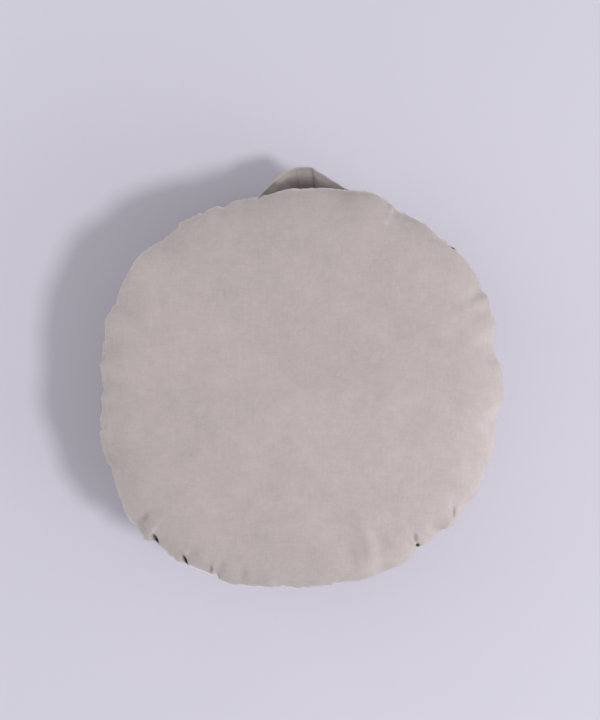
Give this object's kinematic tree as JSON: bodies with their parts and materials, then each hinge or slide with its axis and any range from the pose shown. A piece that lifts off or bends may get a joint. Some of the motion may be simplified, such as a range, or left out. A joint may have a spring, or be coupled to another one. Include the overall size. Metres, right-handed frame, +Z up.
{
  "type": "macaron pouf",
  "caption": "Round velvet floor pouf shaped like a macaron: puffed shells on a drawn-in waist band, with a fabric carry handle.",
  "frame": {"origin": "centre of the flat base, on the floor", "axes": "+Z up through the crown, +Y towards the carry handle, +X to the right in the picture"},
  "size_m": [0.6044, 0.6283, 0.24],
  "materials": {
    "velvet": "short greige velvet pile, matt with a pale bloom at grazing angles",
    "velvet_strap": "the same greige velvet, folded double and stitched along its edges"
  },
  "bodies": {
    "root": {"top_shell": "velvet", "waist_band": "velvet", "bottom_shell": "velvet", "carry_handle": "velvet_strap"}
  },
  "joints": []
}
